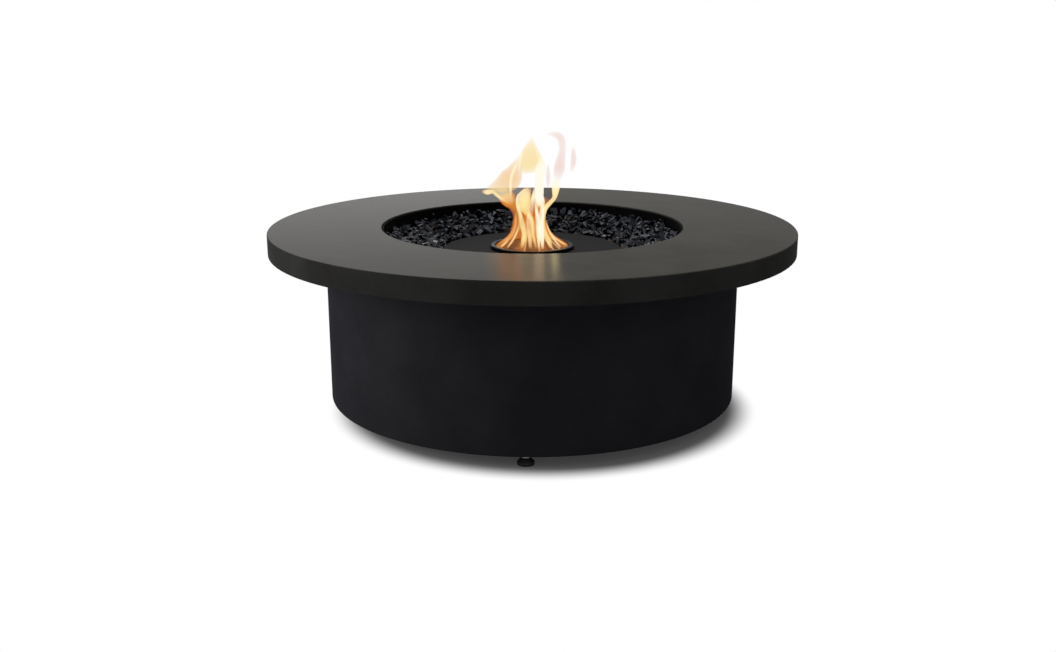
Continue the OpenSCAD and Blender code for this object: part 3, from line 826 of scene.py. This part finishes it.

# Each tongue has its gas, its depth, its thickness as a share of its width, and stations drawn:
# across, up and width
TONGUES = {
    "column": ("white", -2, 1.6, [
        (17, 90, 6), (17, 112, 19), (17, 140, 22), (17, 165, 22), (20, 186, 25), (21, 214, 8),
    ]),
    "column_left": ("white", ON_MOUTH, 1.5, [
        (18, 5, 5), (17, 26, 8), (15, 48, 10), (13, 70, 9), (9, 94, 7), (10, 124, 7),
    ]),
    "column_right": ("white", ON_MOUTH, 1.5, [
        (27, 3, 6), (25, 26, 11), (22, 54, 13), (24, 84, 11), (25, 108, 10), (22, 126, 4),
    ]),
    "petal": ("cream", -14, 0.36, [
        (-8, 62, 7), (-11, 76, 14), (-16, 88, 24), (-19, 102, 31),
        (-18, 118, 31), (-12, 131, 22), (-3, 140, 6),
    ]),
    "petal_edge": ("white", -22, 0.8, [
        (-30, 76, 3), (-36, 98, 6), (-35, 118, 6), (-26, 130, 4), (-8, 138, 3),
    ]),
    "curl": ("cream", ON_MOUTH, 0.9, [
        (-23, 4, 7), (-19, 20, 12), (-18, 34, 12), (-22, 50, 13), (-28, 70, 11), (-35, 97, 8), (-34, 124, 3),
    ]),
    "crossing": ("cream", ON_MOUTH, 0.8, [
        (12, 4, 5), (7, 20, 7), (3, 34, 9), (1, 52, 12), (-3, 66, 12), (-10, 82, 10),
    ]),
    "middle": ("streak", ON_MOUTH, 0.5, [
        (-2, 4, 8), (-4, 24, 10), (-7, 40, 10), (-9, 58, 9), (-9, 78, 4),
    ]),
    "right_strand": ("cream", ON_MOUTH, 0.7, [
        (48, 3, 8), (42, 16, 12), (34, 30, 11), (28, 48, 10), (27, 66, 10), (35, 104, 8),
    ]),
    "right_tongue": ("tip", -6, 1, [
        (27, 64, 8), (31, 87, 12), (42, 101, 11), (53, 114, 11), (56, 130, 17), (57, 146, 20), (57, 166, 6),
    ]),
    "sail": ("pale", 2, 0.5, [
        (2, 174, 46), (-2, 190, 60), (-4, 205, 60), (-4, 220, 48), (-3, 235, 32), (-1, 250, 14), (0, 266, 3),
    ]),
    "sail_left": ("white", -6, 0.3, [
        (-33, 178, 4), (-30, 196, 9), (-28, 212, 11), (-22, 230, 4),
    ]),
    "upper_wing": ("warm", 6, 0.4, [
        (-22, 222, 6), (-36, 192, 28), (-52, 160, 56), (-73, 146, 44), (-97, 137, 22), (-118, 128, 7),
    ]),
    "wing_lip": ("cream", -4, 1.1, [
        (-121, 129, 7), (-108, 127, 12), (-95, 128, 8), (-85, 120, 8), (-72, 110, 8), (-54, 97, 4),
    ]),
    "body": ("ember", -4, 0.8, [
        (-50, 12, 14), (-44, 30, 20), (-38, 50, 22), (-37, 66, 20), (-40, 80, 19),
        (-46, 93, 24), (-54, 104, 34), (-60, 114, 40), (-64, 124, 34),
    ]),
    "right_body": ("ember", 2, 1, [
        (42, 12, 12), (34, 32, 17), (26, 54, 18), (23, 78, 20), (28, 98, 22), (36, 114, 16),
    ]),
    "middle_body": ("ember", 6, 0.8, [
        (-6, 4, 50), (-4, 30, 56), (-4, 60, 50), (-6, 90, 52), (-8, 122, 40),
    ]),
    "wing_streak": ("streak", -4, 0.7, [
        (-34, 206, 3), (-41, 188, 7), (-50, 166, 8), (-52, 145, 8), (-52, 126, 6), (-49, 102, 2),
    ]),
    "wing_glow": ("amber", -10, 0.45, [
        (-39, 78, 8), (-46, 96, 22), (-57, 110, 38), (-66, 126, 40),
    ]),
    "wing_front": ("pale", -18, 0.3, [
        (-46, 100, 8), (-56, 114, 24), (-70, 126, 34), (-91, 134, 24), (-112, 132, 12),
    ]),
    "sail_right": ("tip", -4, 0.4, [
        (22, 186, 8), (20, 204, 12), (12, 224, 8), (4, 246, 3),
    ]),
    "left_streak": ("streak", ON_MOUTH, 1, [
        (-58, 2, 5), (-46, 17, 5), (-38, 31, 5), (-32, 46, 4), (-30, 62, 2),
    ]),
    "far_left_streak": ("streak", ON_MOUTH, 1, [
        (-74, 1, 4), (-64, 9, 4), (-56, 20, 2),
    ]),
    "right_streak": ("streak", ON_MOUTH, 1, [
        (70, 1, 5), (58, 14, 5), (46, 30, 5), (38, 46, 4), (34, 62, 2),
    ]),
    "outer_streak": ("streak", ON_MOUTH, 1, [
        (83, 2, 4), (70, 9, 4), (55, 19, 4), (44, 32, 2),
    ]),
    "back_column": ("white", ON_BACK, 1.2, [
        (-20, 4, 6), (-16, 28, 11), (-10, 54, 14), (-4, 82, 13), (2, 112, 10), (6, 140, 4),
    ]),
    "back_curl": ("cream", ON_BACK, 0.8, [
        (28, 4, 7), (24, 24, 12), (18, 46, 13), (14, 70, 12), (12, 96, 8), (15, 122, 3),
    ]),
    "back_left": ("cream", ON_BACK, 0.8, [
        (-52, 3, 7), (-43, 18, 11), (-35, 36, 12), (-30, 58, 11), (-30, 84, 8), (-34, 108, 3),
    ]),
    "back_streak": ("streak", ON_BACK, 0.8, [
        (4, 3, 5), (3, 24, 8), (0, 48, 8), (-2, 70, 4),
    ]),
    "tall_wisp": ("haze", 10, 0.5, [
        (58, 150, 16), (64, 180, 28), (68, 203, 24), (72, 232, 17),
        (66, 258, 20), (48, 265, 12), (32, 262, 6),
    ]),
    "far_wisp": ("haze", 16, 0.8, [
        (98, 236, 6), (99, 212, 14), (98, 192, 13), (92, 172, 4),
    ]),
    "near_wisp": ("haze", 6, 0.9, [
        (38, 136, 6), (38, 164, 11), (38, 196, 5),
    ]),
}

# The rings of tongues that stand all round the mouth. Each ring has its gas, its count, how far a tongue
# may stray as a share of the step between two, and the least and most of a tongue's half angle, thickness,
# height and sway, with angles in radians
RINGS = {
    "sheet": ("ember", 12, 0.3, (0.2618, 0.3927), (5, 9), (70, 100), (-0.2, 0.2)),
    "ring": ("amber", 12, 0.4, (0.1047, 0.2356), (3, 7), (76, 100), (-0.2, 0.2)),
    "streak": ("streak", 13, 0.5, (0.008, 0.035), (2, 4), (66, 96), (-0.3, 0.3)),
}
# Stations of such a tongue below its tip: radius, height, shift to the left and share of the thickness
RING_STATIONS = [(MOUTH, -3, 0, 0.5), (70, 7, 1, 1), (52, 22, 3, 1), (40, 42, 5, 0.9), (36, 64, 6, 0.8)]
TIP_RADIUS, TIP_SHIFT, TIP_THICKNESS = 36, 6, 0.1


def burning_gas(name, clear, glow, density, mirror_glow, mirrored):
    """Luminous gas of an ethanol flame. clear is the light that still passes it, and glow is what it adds.
    To the eye: a veil where a tongue is thin, turning amber, cream and white as it gets thicker.
    A real flame is brighter than white. That shows only in its mirror image, which is mirrored times as
    bright and keeps the colour that the flame itself is too bright to show."""
    material, tree, out = new_material(name)
    ray = add(tree, "ShaderNodeLightPath")
    level = add(
        tree,
        "ShaderNodeMapRange",
        {"Value": ray.outputs["Is Glossy Ray"], "To Min": density, "To Max": density * mirrored},
    )
    tint = add(
        tree,
        "ShaderNodeMix",
        {0: ray.outputs["Is Glossy Ray"], MIX_A: colour(glow), MIX_B: colour(mirror_glow)},
        data_type="RGBA",
    )
    veil = add(tree, "ShaderNodeVolumeAbsorption", {"Color": colour(clear), "Density": density})
    light = add(tree, "ShaderNodeEmission", {"Color": tint.outputs[MIX_OUT], "Strength": level.outputs[0]})
    both = add(tree, "ShaderNodeAddShader", {0: veil.outputs[0], 1: light.outputs[0]})
    tree.links.new(both.outputs[0], out.inputs["Volume"])
    return material


def between(rows, t):
    """Smooth value at t, from 0 to 1, of a row of equally spaced stations."""
    spot = t * (len(rows) - 1)
    i = min(int(spot), len(rows) - 2)
    f = spot - i
    a, b, c, d = (rows[max(0, min(len(rows) - 1, i + k))] for k in (-1, 0, 1, 2))
    return [
        0.5 * (2 * q + (r - p) * f + (2 * p - 5 * q + 4 * r - s) * f * f + (3 * q - p - 3 * r + s) * f**3)
        for p, q, r, s in zip(a, b, c, d)
    ]


def tongue_mesh(name, sections):
    """Closed skin over a row of ellipses, each given as vectors: middle, half width, half thickness."""
    bm = bmesh.new()
    angles = [FULL_TURN * k / TONGUE_SIDES for k in range(TONGUE_SIDES)]
    rings = [[bm.verts.new(m + w * math.cos(a) + t * math.sin(a)) for a in angles] for m, w, t in sections]
    skin(bm, rings)
    bmesh.ops.recalc_face_normals(bm, faces=bm.faces)
    return mesh_from(bm, name)


def broad_tongue(name, depth, fullness, rows, base):
    """A tongue that shows its broad side to the front, square to the curve through its stations."""
    foot_x = rows[0][0]
    spots = [between(rows, step / TONGUE_STEPS) for step in range(TONGUE_STEPS + 1)]
    sections = []
    for k, (x, z, width) in enumerate(spots):
        before, after = spots[max(0, k - 1)], spots[min(TONGUE_STEPS, k + 1)]
        along = Vector((after[0] - before[0], 0, after[1] - before[1])).normalized()
        y = depth
        if depth in (ON_MOUTH, ON_BACK):
            lean = math.sqrt(MOUTH**2 - foot_x**2) * max(0, 1 - z / LEAN_END) ** LEAN_CURVE
            y = -lean if depth == ON_MOUTH else lean
        half = max(width, LEAST_WIDTH) / 2 * MM
        fade = min(1, (k + 0.5) / FADE_STEPS, (TONGUE_STEPS - k + 0.5) / FADE_STEPS)
        middle = base + Vector((x, y, z)) * MM
        across = Vector((along.z, 0, -along.x)) * half
        sections.append((middle, across, Vector((0, fullness * fade * half, 0))))
    return tongue_mesh(name, sections)


def ring_tongue(name, angle, spread, thick, top, sway, base):
    """A tongue that leans in from the mouth to the waist of the flame. spread is half its angle."""
    rows = RING_STATIONS + [(TIP_RADIUS, top, TIP_SHIFT, TIP_THICKNESS)]
    out = Vector((math.cos(angle), math.sin(angle), 0))
    side = Vector((-math.sin(angle), math.cos(angle), 0))
    sections = []
    for step in range(TONGUE_STEPS + 1):
        t = step / TONGUE_STEPS
        r, z, shift, share = between(rows, t)
        middle = Matrix.Rotation(sway * t, 4, "Z") @ (out * r) + Vector((-shift, 0, z))
        width = r * spread * (1 - TIP_NARROWING * t**3)
        sections.append((base + middle * MM, side * width * MM, out * thick * share / 2 * MM))
    return tongue_mesh(name, sections)


def build_flame():
    """The burning flame. It is light and not a part, and goes with the burner."""
    base = Vector((0, 0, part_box("burner_rim")[1].z))
    # For each gas: light that passes, light added, density, and in a mirror the light added and its strength
    gas = {
        "white": burning_gas("ethanol_flame_hottest", "#00aad3", "#ffc892", 420, "#ffb070", 8),
        "cream": burning_gas("ethanol_flame_bright", "#00c3e6", "#ffb069", 330, "#ffb069", 5),
        "tip": burning_gas("ethanol_flame_tips", "#00c3e6", "#ffb069", 330, "#ffb069", 14),
        "streak": burning_gas("ethanol_flame_streaks", "#00bbe0", "#ffb97c", 420, "#ffb97c", 4),
        "amber": burning_gas("ethanol_flame_thin", "#00dcf7", "#ff8c38", 60, "#ff8c38", 2),
        "ember": burning_gas("ethanol_flame_orange", "#000000", "#d07632", 62, "#d07632", 2),
        "pale": burning_gas("ethanol_flame_upper_veil", "#000000", "#fae2aa", 95, "#f2b468", 7),
        "warm": burning_gas("ethanol_flame_side_veil", "#000000", "#f3c98c", 80, "#e4904c", 14),
        "haze": burning_gas("ethanol_flame_haze", "#000000", "#eccbbf", 85, "#eccbbf", 3),
    }
    tongues = []
    for own_name, (kind, depth, fullness, rows) in TONGUES.items():
        name = f"flame_{own_name}"
        tongues.append((name, broad_tongue(name, depth, fullness, rows, base), kind))
    rng = random.Random(FLAME_SEED)
    for ring, (kind, count, stray, *ranges) in RINGS.items():
        for k in range(count):
            name = f"flame_{ring}_{k + 1}"
            angle = FULL_TURN * (k + rng.uniform(-stray, stray)) / count
            spread, thick, top, sway = [rng.uniform(*limits) for limits in ranges]
            tongues.append((name, ring_tongue(name, angle, spread, thick, top, sway, base), kind))
    for name, mesh, kind in tongues:
        tongue = new_piece(name, mesh, gas[kind], smooth=True)
        tongue.visible_shadow = False
        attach(tongue, "burner")


# Stage

FLOOR_REACH = 14  # m
FLOOR_SIDES = 96
# The floor's shadow is painted: it ends at a circle close round the drum's foot, a little further out at the
# front and on the right, and beyond it the floor shows plain white
PAINTED_SHADOW_MIDDLE = (0.027, -0.04, 0)
PAINTED_SHADOW_FULL, PAINTED_SHADOW_END = 0.45, 0.528
SHADOW_LIFT = 0.036  # light added to the floor in the shadow
SKY_LIGHT = 0.3  # what the sky gives to the table, while it shows as white


def seen_directly(tree):
    """1 for what the camera sees, also in a mirror or through glass, and 0 for the light it gives."""
    ray = add(tree, "ShaderNodeLightPath")
    mirrored = add(
        tree,
        "ShaderNodeMath",
        {0: ray.outputs["Is Camera Ray"], 1: ray.outputs["Is Glossy Ray"]},
        operation="MAXIMUM",
    )
    seen = add(
        tree,
        "ShaderNodeMath",
        {0: mirrored.outputs[0], 1: ray.outputs["Is Transmission Ray"]},
        operation="MAXIMUM",
    )
    return seen.outputs[0]


def floor_with_painted_shadow():
    """Smooth pale floor paint, rolled on. To the eye: white, with a soft grey shadow close to the table
    whose edge is painted; beyond it the floor shows plain white, also where a real shadow falls.
    """
    material, tree, out = new_material("pale_floor_with_painted_shadow")
    seen = seen_directly(tree)
    # To the eye the paint is darker than in the light it throws back: painted shade that evens out the
    # shadow under the table
    paint = add(
        tree,
        "ShaderNodeMix",
        {0: seen, MIX_A: colour("#b0b0b0"), MIX_B: colour("#909090")},
        data_type="RGBA",
    )
    matt = add(tree, "ShaderNodeBsdfDiffuse", {"Color": paint.outputs[MIX_OUT]})
    lift = add(tree, "ShaderNodeMath", {0: seen, 1: SHADOW_LIFT}, operation="MULTIPLY")
    glow = add(tree, "ShaderNodeEmission", {"Color": colour("#ffffff"), "Strength": lift.outputs[0]})
    near = add(tree, "ShaderNodeAddShader", {0: matt.outputs[0], 1: glow.outputs[0]})
    white = add(tree, "ShaderNodeEmission", {"Color": colour("#ffffff"), "Strength": 1})
    # Painted shadow edge: beyond it the floor shows plain white to the eye, inside it the lit floor
    spot = add(tree, "ShaderNodeNewGeometry").outputs["Position"]
    away = add(tree, "ShaderNodeVectorMath", {0: spot, 1: PAINTED_SHADOW_MIDDLE}, operation="DISTANCE")
    fade = add(
        tree,
        "ShaderNodeMapRange",
        {"Value": away.outputs["Value"], "From Min": PAINTED_SHADOW_FULL, "From Max": PAINTED_SHADOW_END},
        interpolation_type="SMOOTHSTEP",
    )
    far = add(tree, "ShaderNodeMath", {0: fade.outputs[0], 1: seen}, operation="MULTIPLY")
    whole = add(tree, "ShaderNodeMixShader", {0: far.outputs[0], 1: near.outputs[0], 2: white.outputs[0]})
    tree.links.new(whole.outputs[0], out.inputs["Surface"])
    return material


def build_stage():
    """Pale floor under a white sky, shown plain white beyond a painted shadow edge close round the table,
    whatever shadow falls there.
    """
    bm = bmesh.new()
    bmesh.ops.create_circle(bm, cap_ends=True, segments=FLOOR_SIDES, radius=FLOOR_REACH)
    floor = new_piece("floor", mesh_from(bm, "floor"), floor_with_painted_shadow())

    world = bpy.data.worlds.new("white_room")
    bpy.context.scene.world = world
    world.use_nodes = True
    tree = world.node_tree
    tree.nodes.clear()
    out = tree.nodes.new("ShaderNodeOutputWorld")
    level = add(tree, "ShaderNodeMapRange", {"Value": seen_directly(tree), "To Min": SKY_LIGHT, "To Max": 1})
    sky = add(tree, "ShaderNodeBackground", {"Color": colour("#ffffff"), "Strength": level.outputs[0]})
    tree.links.new(sky.outputs[0], out.inputs["Surface"])


def add_lamp(name, place, aim, size, watts):
    """A round softbox at place, turned to aim. Its size is in metres."""
    data = bpy.data.lights.new(name, "AREA")
    data.shape = "DISK"
    data.size = size
    data.energy = watts
    lamp = bpy.data.objects.new(name, data)
    lamp.visible_camera = False
    lamp.location = place
    lamp.rotation_euler = (Vector(aim) - Vector(place)).to_track_quat("-Z", "Y").to_euler()
    bpy.context.scene.collection.objects.link(lamp)


def light_stage():
    """Soft light from above and the left, and a low softbox behind that gives the honed top its sheen."""
    add_lamp("overhead_softbox", place=(-0.2, 0.5, 3.2), aim=(0, 0, 0), size=2.6, watts=50)
    add_lamp("left_softbox", place=(-3, -0.5, 0.95), aim=(0, 0, 0.3), size=1.4, watts=40)
    add_lamp("back_softbox", place=(-1.1, 4, 1), aim=(0, 0, 0.4), size=2.1, watts=15.5)


# Making

bpy.context.scene.view_settings.view_transform = "Standard"
place_camera()
build_stage()
light_stage()
dress_nodes()
build_fire_glass()
build_studs()
build_flame()
